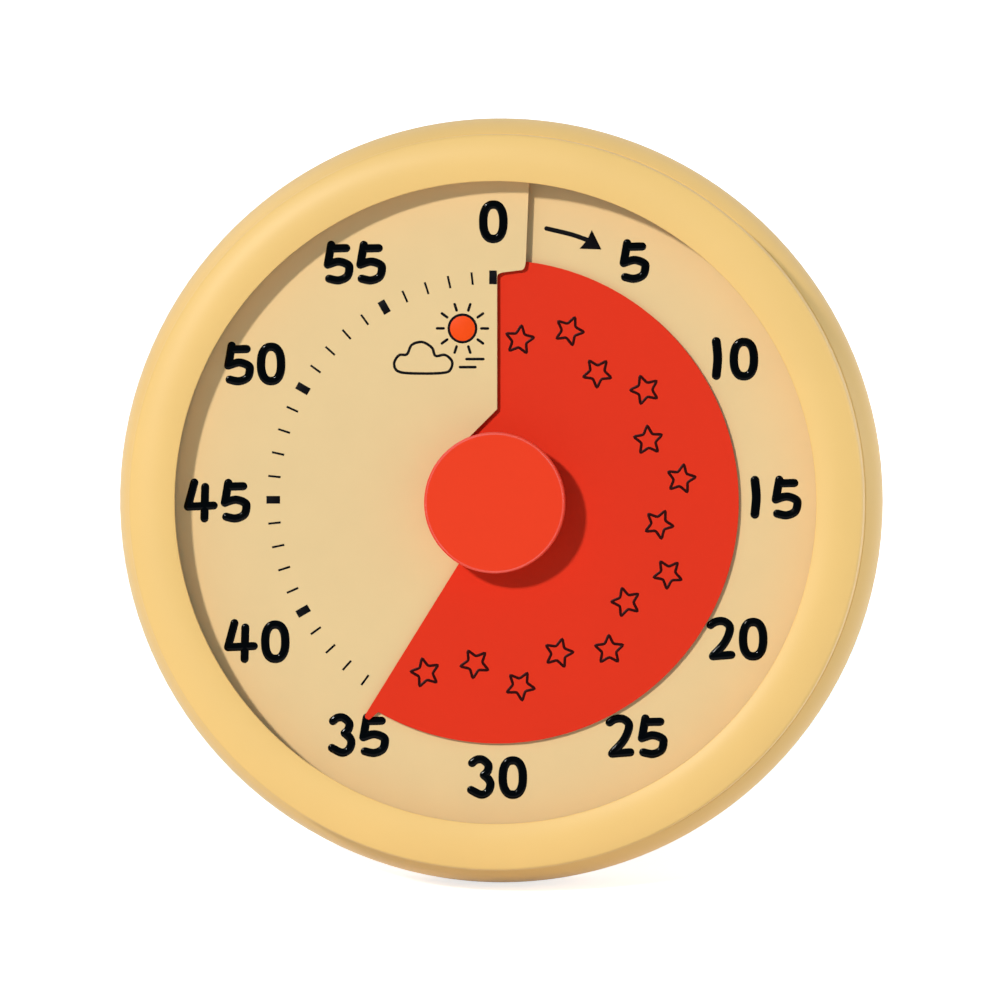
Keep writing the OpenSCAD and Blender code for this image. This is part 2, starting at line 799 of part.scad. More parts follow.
module escape_wheel() {
    lift = 360 / escape_teeth;
    color("gold") stand_up() at(escape_at) translate([0, 0, escape_z]) linear_extrude(wheel_t) difference() {
        polygon([for (k = [0:escape_teeth - 1]) each [polar(escape_r - escape_tooth, k * lift),
            polar(escape_r, (k + 0.15) * lift), polar(escape_r, (k + 0.3) * lift),
            polar(escape_r - escape_tooth, (k + 0.75) * lift)]]);
        crossings(pivot_r + escape_hub, escape_r - escape_tooth - escape_rim, 3);
        circle(r = pivot_r + push);
    }
}

module pallet_arbor() {
    color("silver") stand_up() at(pallet_at) rod(pivot_r, rear_z, front_z);
}

// Flat bar from one point to another, with round ends
module bar(from, to, width, thick) {
    way = to - from;
    linear_extrude(thick) {
        translate(from) rotate([0, 0, atan2(way[1], way[0])])
            translate([0, -width / 2]) square([norm(way), width]);
        translate(from) circle(r = width / 2);
        translate(to) circle(r = width / 2);
    }
}

module pallet_lever() {
    drop = pallet_apart - escape_r;
    lever_z = escape_z + wheel_t + pallet_over;
    color("silver") stand_up() at(pallet_at) rotate([0, 0, pallet_from - 90]) difference() {
        union() {
            for (x = [-pallet_spread, pallet_spread]) {
                translate([0, 0, lever_z]) bar([0, 0], [x, -drop], pallet_w, pallet_t);
                translate([x, -drop, 0]) rod(pallet_pin_r, escape_z - pallet_over / 2, lever_z);
            }
            rod(pallet_hub_r, lever_z, lever_z + pallet_t + wheel_t);
        }
        rod(pivot_r + push, rear_z, front_z);
    }
}

module balance() {
    color("gold") stand_up() at(pallet_at) translate([0, 0, balance_z]) linear_extrude(wheel_t) difference() {
        circle(r = balance_r);
        crossings(wheel_hub, balance_r - wheel_rim, 2);
        circle(r = pivot_r + push);
    }
}

module hammer_arbor() {
    color("silver") stand_up() at(hammer_at) rod(pivot_r, rear_z, front_z);
}

// Two-armed lever: the tail rests near the cam's edge, and the head stands by the bell's rim
module hammer() {
    color("silver") stand_up() difference() {
        translate([0, 0, cam_z]) union() {
            bar(hammer_at, polar(tail_r, tail_angle), hammer_arm_w, wheel_t);
            bar(hammer_at, hammer_head_at, hammer_arm_w, wheel_t);
            at(hammer_head_at) rod(hammer_head_r, -0.4, hammer_head_h);
            at(hammer_at) rod(hammer_boss_r, 0, hammer_head_h);
        }
        at(hammer_at) rod(pivot_r + push, rear_z, front_z);
    }
}

// Cross-section of a bell's outside, drawn in by inset
module bell_section(inset) {
    translate([bell_r - bell_round_r, bell_crown_z - bell_round_r])
        circle(r = bell_round_r - inset, $fn = 48);
    translate([0, bell_crown_z - bell_h]) square([bell_r - inset, bell_h - bell_round_r]);
    translate([0, bell_crown_z - bell_h]) square([bell_r - bell_round_r, bell_h - inset]);
}

module bell() {
    color("silver") stand_up() at([0, bell_y]) rotate_extrude() difference() {
        bell_section(0);
        bell_section(bell_t);
        translate([0, bell_crown_z - bell_h - 1]) square([bell_r - bell_t, 1 + cut]);
        translate([0, bell_crown_z - bell_t - 1]) square([bell_screw_r + push, bell_t + 2]);
    }
}

module bell_screw() {
    color("silver") stand_up() at([0, bell_y]) translate([0, 0, bell_crown_z]) rotate([180, 0, 0])
        screw(bell_screw_r, bell_screw_l, bell_head_r, bell_head_h);
}

// ---- Back ----

module back_magnets() {
    color("dimgray") stand_up() for (x = [-1, 1]) translate([x * magnet_at[0], magnet_at[1], 0])
        rod(magnet_r, back_z + moulded_gap, back_z + magnet_t + moulded_gap);
}

// The leg's own frame: its pivot at the origin, the folded leg along -y
module open_leg() {
    stand_up() translate([0, stand_pivot_y, pivot_z]) rotate([stand_open, 0, 0]) children();
}

module stand_leg() {
    window_w = stand_w - 2 * window_side;
    window_l = leg_l - window_top - window_foot;
    color("burlywood") open_leg() difference() {
        union() {
            translate([-stand_w / 2, 0, 0]) rotate([0, 90, 0]) cylinder(r = barrel_r, h = stand_w);
            translate([-stand_w / 2, -leg_l - foot_over, leg_mid_z - stand_t / 2])
                cube([stand_w, leg_l + foot_over, stand_t]);
            translate([-stand_w / 2, 0, -barrel_r]) cube([stand_w, heel_h, barrel_r]);
        }
        translate([-stand_w, 0, 0]) rotate([0, 90, 0]) cylinder(r = stand_pin_r + running, h = 2 * stand_w);
        translate([0, -window_top - window_l / 2, leg_mid_z - stand_t]) linear_extrude(2 * stand_t) {
            square([window_w, window_l - window_w], center = true);
            for (y = [-1, 1]) translate([0, y * (window_l - window_w) / 2]) circle(r = window_w / 2);
        }
        rotate([-leg_lean, 0, 0])
            translate([-stand_w, -pivot_height - 20 + foot_pad_t, -leg_l]) cube([2 * stand_w, 20, 2 * leg_l]);
    }
}

module stand_pin() {
    half = stand_w / 2 + recess_side + recess_wall - 0.2;
    color("silver") stand_up() translate([-half, stand_pivot_y, pivot_z]) rotate([0, 90, 0])
        cylinder(r = stand_pin_r, h = 2 * half);
}

module stand_foot_pad() {
    color("dimgray") open_leg() rotate([-leg_lean, 0, 0])
        translate([-stand_w / 2 + foot_pad_in, -pivot_height, -foot_back - foot_w / 2])
            cube([stand_w - 2 * foot_pad_in, foot_pad_t, foot_w]);
}

bezel_ring();
rear_casing();
casing_screws();
dial();
red_disc();
disc_hub();
drive_sleeve();
knob();
arbor();
front_plate();
rear_plate();
plate_pillars();
movement_screws();
front_bush();
rear_bush();
spring_post();
mainspring();
spring_collet();
great_wheel();
strike_cam();
second_pinion();
second_wheel();
third_pinion();
third_wheel();
escape_pinion();
escape_wheel();
pallet_arbor();
pallet_lever();
balance();
hammer_arbor();
hammer();
bell();
bell_screw();
back_magnets();
stand_leg();
stand_pin();
stand_foot_pad();
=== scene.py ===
# %% [markdown]
# # A visual countdown timer
# A wind-up timer for a classroom or a kitchen. A red disc comes out of a slit in the dial as the knob
# is wound, and shows the minutes that are left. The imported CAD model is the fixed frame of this
# scene: it holds every piece at its real size. These cells dress it with prints, finishes and light.

# %% Load the frame
import math

import bmesh
import bpy
from mathutils import Matrix, Vector
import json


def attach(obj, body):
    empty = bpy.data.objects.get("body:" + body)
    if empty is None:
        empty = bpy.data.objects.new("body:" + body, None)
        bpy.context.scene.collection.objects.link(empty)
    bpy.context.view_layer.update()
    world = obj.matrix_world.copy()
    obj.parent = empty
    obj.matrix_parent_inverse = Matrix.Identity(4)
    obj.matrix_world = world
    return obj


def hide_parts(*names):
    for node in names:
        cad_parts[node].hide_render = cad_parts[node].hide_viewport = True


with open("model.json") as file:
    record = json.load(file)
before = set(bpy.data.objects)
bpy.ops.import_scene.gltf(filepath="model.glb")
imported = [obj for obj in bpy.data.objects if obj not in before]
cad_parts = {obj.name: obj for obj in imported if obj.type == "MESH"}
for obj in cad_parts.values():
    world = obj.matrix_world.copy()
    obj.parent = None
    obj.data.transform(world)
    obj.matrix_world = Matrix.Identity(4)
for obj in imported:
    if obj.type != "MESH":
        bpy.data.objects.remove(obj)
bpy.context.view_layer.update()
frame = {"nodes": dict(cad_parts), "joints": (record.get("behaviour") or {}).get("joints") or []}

# %% [markdown]
# ## The dial's own directions
# The dial leans back, so up, right and out of it aren't the world's axes. The knob's joint has the
# dial's centre and its axis, so the dial's directions are read from there and never typed. Each
# print and each refined piece is then drawn in millimetres on a flat dial and put in its place.

# %% Directions of the dial
knob_joint = next(j for j in frame["joints"] if j["name"] == "knob_turn")
dial_centre = Vector(knob_joint["pos_m"])
outward = -Vector(knob_joint["axis"]).normalized()
right = Vector((1, 0, 0))
upward = outward.cross(right)
lean = math.degrees(math.asin(outward.z))


def place(x, y, z):
    """World point, in metres, of a point of the dial's own frame, in millimetres."""
    return dial_centre + (right * x + upward * y + outward * z) / 1000


def on_dial(radius, angle):
    """Flat dial point at a radius, at an angle in degrees clockwise from 0."""
    turn = math.radians(angle)
    return radius * math.sin(turn), radius * math.cos(turn)


print("the dial leans back by", round(lean, 2), "degrees")

# %% [markdown]
# ## Camera
# A long lens six metres away flattens the perspective. An orthographic camera would drop it
# altogether, which no real lens does. The camera stands a little to the right of the dial's axis and a
# little above it, with the dial upright in its frame, so that a sliver of the casing's side shows along
# the right edge.

# %% Camera
camera_azimuth = 3.7
camera_rise = 1.4
camera_distance = 6.0
pixels_per_mm = 4.023
picture_pixels = 1000
widest_depth = 13.5
widest_circle_pixel = (501.06, 500.36)

sideways = math.tan(math.radians(camera_azimuth))
rise = math.tan(math.radians(camera_rise))
toward_camera = (outward + right * sideways + upward * rise).normalized()
camera_right = upward.cross(toward_camera).normalized()
camera_up = toward_camera.cross(camera_right)

camera = bpy.data.objects.new("camera", bpy.data.cameras.new("camera"))
bpy.context.scene.collection.objects.link(camera)
bpy.context.scene.camera = camera
camera.data.sensor_width = 36
camera.data.lens = camera.data.sensor_width * pixels_per_mm * camera_distance
camera.data.clip_end = 20
off_x, off_y = ((p - picture_pixels / 2) / pixels_per_mm / 1000 for p in widest_circle_pixel)
aim = place(0, 0, -widest_depth) - camera_right * off_x + camera_up * off_y
turned = Matrix((camera_right, camera_up, toward_camera)).transposed().to_4x4()
camera.matrix_world = Matrix.Translation(aim + toward_camera * camera_distance) @ turned
print("lens", round(camera.data.lens, 1), "mm")

# %% [markdown]
# ## Light and floor
# One soft lamp at the upper left, about 30 degrees off the dial's axis, throws the knob's shadow on
# the disc and the ring's shadow on the dial. A broad fill from the right keeps the casing's far side
# open, and a weak rim lamp behind brightens its near one. The sky in front of the timer is a dim
# daylight, which fills the shadows, and it is paler behind, as in a light tent. Area lamps could do
# this too, but a sun lamp has the same direction and strength all over the dial, so a shadow keeps its
# width from one side to the other. The floor is a matt pale board, lifted to white for the camera so
# that it keeps its shadow.

# %% Lamps
lamp_from = (-0.4415, 0.397, 1.0)
lamp_softness = 4.0
lamp_strength = 2.3
fill_from = (1.0, 0.15, -0.12)
fill_softness = 40.0
fill_strength = 1.6
rim_from = (-0.75, 0.7, -0.6)
rim_softness = 35.0
rim_strength = 0.3


def add_sun(name, toward, softness, strength):
    """A distant lamp in a direction of the dial's own frame."""
    lamp = bpy.data.objects.new(name, bpy.data.lights.new(name, "SUN"))
    bpy.context.scene.collection.objects.link(lamp)
    lamp.data.energy = strength
    lamp.data.angle = math.radians(softness)
    lamp.rotation_mode = "QUATERNION"
    lamp.rotation_quaternion = (place(*toward) - place(0, 0, 0)).to_track_quat("Z", "Y")
    print(name, "has strength", strength, "and is", softness, "degrees wide")


add_sun("lamp", lamp_from, lamp_softness, lamp_strength)
add_sun("fill", fill_from, fill_softness, fill_strength)
add_sun("rim", rim_from, rim_softness, rim_strength)
bpy.context.scene.view_settings.view_transform = "Standard"


# %% Colours and nodes
def linear(text):
    """An sRGB hex colour as linear red, green, blue and alpha."""
    parts = [int(text[i:i + 2], 16) / 255 for i in (1, 3, 5)]
    return [p / 12.92 if p <= 0.04045 else ((p + 0.055) / 1.055) ** 2.4 for p in parts] + [1]


def add_node(tree, kind, settings=None, links=None):
    """A new node, with its settings and sockets set by name and its inputs linked."""
    made = tree.nodes.new(kind)
    for name, value in (settings or {}).items():
        if hasattr(made, name):
            setattr(made, name, value)
        else:
            made.inputs[name].default_value = value
    for name, source in (links or {}).items():
        tree.links.new(source, made.inputs[name])
    return made


def seen_white(tree, backdrop=None):
    """A socket that is 1 for camera rays and 0 for the light that falls on things. For mirror and glass
    rays it is the share of the backdrop in their direction, or 1."""
    def join(operation, a, b):
        return add_node(tree, "ShaderNodeMath", {"operation": operation}, {0: a, 1: b}).outputs[0]

    path = add_node(tree, "ShaderNodeLightPath")
    mirrored = join("MAXIMUM", path.outputs["Is Glossy Ray"], path.outputs["Is Transmission Ray"])
    if backdrop:
        mirrored = join("MULTIPLY", mirrored, backdrop)
    return join("MAXIMUM", path.outputs["Is Camera Ray"], mirrored)


# %% Sky
daylight_dim = (0.20, 0.35, 0.48, 1.0)
tent_strength = 0.4
tent_from, tent_full = -0.1, 0.5

world = bpy.data.worlds.new("studio")
bpy.context.scene.world = world
world.use_nodes = True
tree = world.node_tree
tree.nodes.clear()
direction = add_node(tree, "ShaderNodeTexCoord").outputs["Generated"]
behind = add_node(tree, "ShaderNodeVectorMath", {"operation": "DOT_PRODUCT"}, {0: direction})
behind.inputs[1].default_value = -outward
share = add_node(tree, "ShaderNodeMapRange", {"From Min": tent_from, "From Max": tent_full},
                 {"Value": behind.outputs["Value"]})
daylight = add_node(tree, "ShaderNodeBackground", {"Color": daylight_dim, "Strength": 1.0})
tent = add_node(tree, "ShaderNodeBackground", {"Color": linear("#FFFFFF"), "Strength": tent_strength})
dim = add_node(tree, "ShaderNodeMixShader", None,
               {0: share.outputs[0], 1: daylight.outputs[0], 2: tent.outputs[0]})
white = add_node(tree, "ShaderNodeBackground", {"Color": linear("#FFFFFF"), "Strength": 1.0})
mixed = add_node(tree, "ShaderNodeMixShader", None,
                 {0: seen_white(tree, share.outputs[0]), 1: dim.outputs[0], 2: white.outputs[0]})
add_node(tree, "ShaderNodeOutputWorld", None, {"Surface": mixed.outputs[0]})
print("sky of", len(tree.nodes), "nodes")

# %% Floor
floor_half = 3.0
floor_glow = 0.72


def new_material(name):
    """An empty material and its node tree."""
    material = bpy.data.materials.new(name)
    material.use_nodes = True
    material.node_tree.nodes.clear()
    print("material", name)
    return material, material.node_tree


paper, tree = new_material("painted_board_white")
matt = add_node(tree, "ShaderNodeBsdfDiffuse", {"Color": linear("#E9E9E9")})
glow = add_node(tree, "ShaderNodeEmission", {"Color": linear("#FFFFFF"), "Strength": floor_glow})
both = add_node(tree, "ShaderNodeAddShader", None, {0: matt.outputs[0], 1: glow.outputs[0]})
shown = add_node(tree, "ShaderNodeMixShader", None,
                 {0: seen_white(tree), 1: matt.outputs[0], 2: both.outputs[0]})
add_node(tree, "ShaderNodeOutputMaterial", None, {"Surface": shown.outputs[0]})

mesh = bpy.data.meshes.new("floor")
corners = [(x * floor_half, y * floor_half, 0) for x, y in ((-1, -1), (1, -1), (1, 1), (-1, 1))]
mesh.from_pydata(corners, [], [(0, 1, 2, 3)])
floor = bpy.data.objects.new("floor", mesh)
bpy.context.scene.collection.objects.link(floor)
floor.data.materials.append(paper)
print("floor", 2 * floor_half, "metres wide")

# %% [markdown]
# ## Moulded ABS
# The ring, the rear casing and the stand are injection-moulded ABS in a warm cream. The steel mould
# was spark-eroded, which gives the plastic an even, very fine grain and a soft silk sheen, never a
# mirror. Grain that fine is far below a pixel, so it is drawn a little coarser, and a faint cloudy
# change of tone stands for the flow of the plastic. A grain picture could be wrapped round each piece,
# but noise that is measured in the piece's own millimetres needs no unwrapping and has one size
# everywhere. The sheets, the inks and the rubber are made the same way with other numbers. The knob's
# edges are painted pale: a painted highlight along its rim that also stands for wear.


# %% Plastics
# Sockets of the colour mix, by number, because its sockets for other types have the same names
MIX_FACTOR, MIX_A, MIX_B, MIX_RESULT = 0, 6, 7, 2
plastic_ior = 1.54
cloud_low, cloud_high, cloud_detail = 0.3, 0.7, 3.0
grain_strength, grain_detail = 0.25, 2.0
rough_spread = 0.04
bevel_samples = 8
flat_match, edge_match = 0.998, 0.97


def worn_edges(tree, body, colour, width_mm, pale_share):
    """The body's colour, mixed toward white on edges: a painted highlight along them, which also stands for
    the wear where hands rub a moulded part pale.
    """
    # Painted highlight along edges, also standing for wear: where the rounded normal leaves the flat one,
    # the colour goes toward white
    round_normal = add_node(tree, "ShaderNodeBevel",
                            {"samples": bevel_samples, "Radius": width_mm / 1000}).outputs[0]
    flat_normal = add_node(tree, "ShaderNodeNewGeometry").outputs["Normal"]
    match = add_node(tree, "ShaderNodeVectorMath", {"operation": "DOT_PRODUCT"},
                     {0: round_normal, 1: flat_normal})
    highlight_and_wear = add_node(tree, "ShaderNodeMapRange", {"From Min": flat_match, "From Max": edge_match},
                    {"Value": match.outputs["Value"]})
    mix = add_node(tree, "ShaderNodeMix", {"data_type": "RGBA"},
                   {MIX_FACTOR: highlight_and_wear.outputs[0], MIX_A: body})
    mix.inputs[MIX_B].default_value = [c + (1 - c) * pale_share for c in linear(colour)]
    return mix.outputs[MIX_RESULT]


def plastic(name, colour, roughness, specular=0.3, grain_mm=0.35, grain_depth=0.012,
            cloud_mm=45, cloud=0.025, edge_mm=0.0, edge_pale=0.0):
    """Plastic, ink or rubber: an even colour with faint flow clouds, fine grain and, where edge_mm is
    given, pale edges that are a painted highlight and wear.
    """
    material, tree = new_material(name)
    coords = add_node(tree, "ShaderNodeTexCoord").outputs["Object"]
    clouds = add_node(tree, "ShaderNodeTexNoise", {"Scale": 1000 / cloud_mm, "Detail": cloud_detail},
                      {"Vector": coords})
    tone = add_node(tree, "ShaderNodeMapRange",
                    {"From Min": cloud_low, "From Max": cloud_high,
                     "To Min": 1 - cloud, "To Max": 1 + cloud},
                    {"Value": clouds.outputs["Fac"]})
    scaled = add_node(tree, "ShaderNodeVectorMath", {"operation": "SCALE"}, {"Scale": tone.outputs[0]})
    scaled.inputs[0].default_value = linear(colour)[:3]
    body = scaled.outputs[0]
    if edge_mm:
        body = worn_edges(tree, body, colour, edge_mm, edge_pale)
    grain = add_node(tree, "ShaderNodeTexNoise", {"Scale": 1000 / grain_mm, "Detail": grain_detail},
                     {"Vector": coords})
    bump = add_node(tree, "ShaderNodeBump", {"Strength": grain_strength, "Distance": grain_depth / 1000},
                    {"Height": grain.outputs["Fac"]})
    rough = add_node(tree, "ShaderNodeMapRange",
                     {"To Min": roughness - rough_spread, "To Max": roughness + rough_spread},
                     {"Value": clouds.outputs["Fac"]})
    shader = add_node(tree, "ShaderNodeBsdfPrincipled",
                      {"IOR": plastic_ior, "Specular IOR Level": specular},
                      {"Base Color": body, "Roughness": rough.outputs[0], "Normal": bump.outputs[0]})
    add_node(tree, "ShaderNodeOutputMaterial", None, {"Surface": shader.outputs[0]})
    return material


# %% Plastics, inks, rubber and ferrite
# Spark-eroded ABS: a broad soft sheen on an even warm tone
ABS_CREAM = plastic("abs_cream_spark_eroded", "#F3C173", 0.42, 0.2)
# ABS that hands have rubbed silky: the same sheen on red, with a painted highlight along the edges that
# also stands for wear
ABS_RED = plastic("abs_red_silk", "#EE3914", 0.45, 0.1, cloud=0.01, edge_mm=0.7, edge_pale=0.3)
# Extruded sheet with a matt embossed face: dry and even, almost like card
PP_CREAM = plastic("polypropylene_sheet_cream", "#E9C38A", 0.65, 0.1,
                   grain_mm=0.6, cloud_mm=12, cloud=0.012)
# Calendered sheet with a matt face: a flat deep red that throws no glint
PVC_RED = plastic("pvc_sheet_red", "#E23014", 0.65, 0.08, grain_mm=0.6, cloud_mm=25, cloud=0.012)
# Screen ink laid on thick and cured glossy: deep black with small sharp glints
INK_BLACK = plastic("screen_ink_black_raised", "#010101", 0.1, 0.07, grain_depth=0.002, cloud=0.0)
# Screen inks laid on in one thin pass: dull, and only as smooth as the sheet below
INK_FLAT = plastic("screen_ink_black_flat", "#0C0A0C", 0.5, 0.04, grain_depth=0.002, cloud=0.0)
INK_MAROON = plastic("screen_ink_maroon", "#300503", 0.35, 0.05, grain_depth=0.002, cloud=0.0)
INK_ORANGE = plastic("screen_ink_orange", "#F84A08", 0.4, 0.1, grain_depth=0.002, cloud=0.0)
# Moulded acetal: a cool, waxy white
ACETAL = plastic("acetal_white", "#ECE9E0", 0.35)
# Moulded rubber: a dusty black with hardly any sheen
RUBBER = plastic("rubber_black", "#202022", 0.8, 0.2, grain_depth=0.03)
# Sintered and ground ferrite: a dull dark grey
FERRITE = plastic("ferrite_black", "#3A3A3C", 0.6, grain_depth=0.02)


# %% [markdown]
# ## Metals
# The movement is stamped and turned metal. A turned or rolled surface has fine parallel scratches,
# so its roughness changes along one direction, and a metal's colour is that of its reflections. An
# anisotropic shader would stretch the highlights as well, but it needs a tangent on every piece, and a
# stretched noise shows the same lines without one.


# %% Metals
scratch_mm = 0.15
scratch_stretch = 0.04
scratch_detail = 2.0
scratch_strength, scratch_depth = 0.2, 0.01
rough_less, rough_more = 0.06, 0.08


def metal(name, colour, roughness):
    """Bare metal with fine parallel scratches."""
    material, tree = new_material(name)
    coords = add_node(tree, "ShaderNodeTexCoord").outputs["Object"]
    stretch = add_node(tree, "ShaderNodeMapping", {"Scale": (1, scratch_stretch, 1)}, {"Vector": coords})
    scratches = add_node(tree, "ShaderNodeTexNoise",
                         {"Scale": 1000 / scratch_mm, "Detail": scratch_detail},
                         {"Vector": stretch.outputs[0]})
    rough = add_node(tree, "ShaderNodeMapRange",
                     {"To Min": roughness - rough_less, "To Max": roughness + rough_more},
                     {"Value": scratches.outputs["Fac"]})
    bump = add_node(tree, "ShaderNodeBump",
                    {"Strength": scratch_strength, "Distance": scratch_depth / 1000},
                    {"Height": scratches.outputs["Fac"]})
    shader = add_node(tree, "ShaderNodeBsdfPrincipled", {"Base Color": linear(colour), "Metallic": 1.0},
                      {"Roughness": rough.outputs[0], "Normal": bump.outputs[0]})
    add_node(tree, "ShaderNodeOutputMaterial", None, {"Surface": shader.outputs[0]})
    return material


# Zinc-plated steel: a cool grey, half dull
STEEL = metal("steel_zinc_plated", "#B9BBBE", 0.32)
# Rolled brass: warm yellow with soft streaks
BRASS = metal("brass_rolled", "#D9B25A", 0.3)
# Blued spring steel: dark, with a cold cast
SPRING_STEEL = metal("spring_steel_blued", "#5C6470", 0.3)
# Nickel-plated bell steel: bright and slightly warm, the shiniest piece
BELL_STEEL = metal("bell_steel_nickel_plated", "#C9C6BE", 0.18)

# %% [markdown]
# ## A finish for every piece
# Each piece of the frame names what it is made of in its material slot. The finishes could be set
# piece by piece, but a table from slot to finish gives every piece of one stuff one look, also in the
# movement behind the dial, so the timer is whole when it is opened.

# %% Finish every piece of the frame
FINISHES = {
    "case_plastic": ABS_CREAM, "dial_sheet": PP_CREAM, "red_sheet": PVC_RED, "knob_plastic": ABS_RED,
    "acetal": ACETAL, "steel": STEEL, "spring_steel": SPRING_STEEL, "brass": BRASS,
    "bell_steel": BELL_STEEL, "magnet": FERRITE, "rubber": RUBBER,
}
for name, piece in frame["nodes"].items():
    slot = piece.data.materials[0].name
    piece.data.materials.clear()
    piece.data.materials.append(FINISHES[slot])
    print(name, "is", FINISHES[slot].name)

# %% [markdown]
# ## Dial and disc
# Both sheets are helicoids with the same pitch: 0.8 mm polypropylene that climbs once round the dial
# from the slit's lower lip to its upper one, and a 0.5 mm red disc that winds out between them. The
# frame carries them as facets, so the scene draws them again in one degree steps with smooth normals.
# A screw modifier could sweep such a sheet from one line, but it can't form the disc's pointer tip, so
# both are built from rows of points that run out from the hub. The disc's edge is trimmed a quarter of
# a millimetre inside the frame's.

# %% Sizes of the sheets
# Sizes in millimetres, as in the frame, and the disc's turn at rest in degrees
PITCH = 3.0
DIAL_T = 0.8
DISC_T = 0.5
DISC_R = 59.95
DIAL_R = 81.6
HUB_R = 9.02
SET_ANGLE = 211.8
SLIT_LAP = 8.0
SLIT_STEP_Y = 57.0


def dial_level(angle):
    """Height of the middle of the dial sheet."""
    return PITCH * (angle / 360 - 0.5)


def disc_level(angle):
    """Height of the middle of the red disc."""
    return PITCH * angle / 360


# %% A mesh in the dial's frame
def add_piece(name, points, faces, material, body, crease=40):
    """A mesh from points in the dial's frame, in millimetres, riding on a body, with smooth shading."""
    mesh = bpy.data.meshes.new(name)
    mesh.from_pydata([place(*point) for point in points], [], faces)
    shape = bmesh.new()
    shape.from_mesh(mesh)
    bmesh.ops.recalc_face_normals(shape, faces=shape.faces)
    for face in shape.faces:
        face.smooth = True
    for edge in shape.edges:
        edge.smooth = edge.calc_face_angle(math.pi) < math.radians(crease)
    shape.to_mesh(mesh)
    shape.free()
    mesh.materials.append(material)
    piece = bpy.data.objects.new(name, mesh)
    bpy.context.scene.collection.objects.link(piece)
    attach(piece, body)
    print(name, "has", len(points), "points and rides on the", body)
    return piece


# %% Sheets and posts
def sheet(rows, level, thickness):
    """Points and faces of a thin sheet from rows of (radius, angle) that run out from the hub."""
    width = len(rows[0])
    points = [(*on_dial(radius, angle), level(angle) + side * thickness / 2)
              for row in rows for side in (1, -1) for radius, angle in row]
    faces = []
    for i in range(len(rows) - 1):
        near, far = 2 * width * i, 2 * width * (i + 1)
        for k in range(width - 1):
            for side in (0, width):
                faces.append((near + side + k, near + side + k + 1, far + side + k + 1, far + side + k))
        for k in (0, width - 1):
            faces.append((near + k, far + k, far + width + k, near + width + k))
    for end in (0, 2 * width * (len(rows) - 1)):
        for k in range(width - 1):
            faces.append((end + k, end + k + 1, end + width + k + 1, end + width + k))
    return points, faces


def post(x, y, radius, low, high, sides=24):
    """Points and faces of an upright cylinder."""
    ring = [(x + radius * math.cos(2 * math.pi * k / sides), y + radius * math.sin(2 * math.pi * k / sides))
            for k in range(sides)]
    points = [(*p, z) for z in (low, high) for p in ring]
    faces = [(k, (k + 1) % sides, sides + (k + 1) % sides, sides + k) for k in range(sides)]
    return points, faces + [tuple(range(sides)), tuple(range(sides, 2 * sides))]


def joined(parts):
    """One list of points and one of faces from several parts."""
    points, faces = [], []
    for more_points, more_faces in parts:
        start = len(points)
        points += more_points
        faces += [tuple(start + k for k in face) for face in more_faces]
    return points, faces


# %% Dial sheet
hole_corner = (-5.36, 9.14)
rim_corner = (SLIT_LAP, round(math.sqrt(DIAL_R ** 2 - SLIT_LAP ** 2), 2))
slit_edge = [hole_corner, (-8.5, 14.5), (-5.525, 17.475), (0, 23), (0, 40), (0, SLIT_STEP_Y - 1.2),
             (0.15, SLIT_STEP_Y - 0.7), (0.5, SLIT_STEP_Y - 0.4), (1.4, SLIT_STEP_Y - 0.1),
             (SLIT_LAP - 1.9, SLIT_STEP_Y + 0.5), (SLIT_LAP - 1.4, SLIT_STEP_Y + 0.8),
             (SLIT_LAP - 1.1, SLIT_STEP_Y + 1.3), (SLIT_LAP - 0.9, SLIT_STEP_Y + 2.4), rim_corner]
sheet_under = 2
post_count = 8
post_ring_r, post_r = DIAL_R - 1.7, 1.4
post_foot = -6.0

rows = [[(math.hypot(x, y), math.degrees(math.atan2(x, y)) - sheet_under + turn) for x, y in slit_edge]
        for turn in range(0, 360 + sheet_under + 1)]
parts = [sheet(rows, dial_level, DIAL_T)]
for i in range(post_count):
    angle = (i + 0.5) * 360 / post_count
    parts.append(post(*on_dial(post_ring_r, angle), post_r, post_foot, dial_level(angle)))
dial = add_piece("dial_sheet_fine", *joined(parts), PP_CREAM, "casing")
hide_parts("dial")

# %% Red disc
tip_reach, tip_w = 2.9, 2.0
tip_round, tip_flat, tip_end = 0.25, 0.6, 1.3
tip_step = 0.05
disc_cut = 4


def disc_edge(u):
    """Radius of the disc's edge, u tip widths back from its leading edge."""
    if u < tip_round:
        share = 1 - tip_round * (1 - u / tip_round) ** 2
    elif u < tip_end:
        share = (1 + math.cos(math.pi * max(0, u - tip_flat) / (tip_end - tip_flat))) / 2
    else:
        share = 0
    return DISC_R + tip_reach * share


tip_degrees = math.degrees(tip_w / DISC_R)
fine = [tip_step * k * tip_degrees for k in range(round(tip_end / tip_step) + 1)]
back = fine + list(range(math.ceil(fine[-1] + 0.5), 360 - disc_cut + 1))
rows = [[(radius, SET_ANGLE - a) for radius in (HUB_R, disc_edge(a / tip_degrees))] for a in back]
disc = add_piece("red_disc_fine", *sheet(rows, disc_level, DISC_T), PVC_RED, "disc")
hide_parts("red_disc")

# %% [markdown]
# ## Front ring
# The frame's ring has a broad inner rounding. The real tool closes there, which leaves a crisp inner
# edge that throws a crisp shadow on the dial, so the ring is turned again from the same section with
# a tighter one, with its six screw bosses inside. A bevel modifier could round a rough section, but
# arcs that run smoothly into each other give the arched face its exact radius.

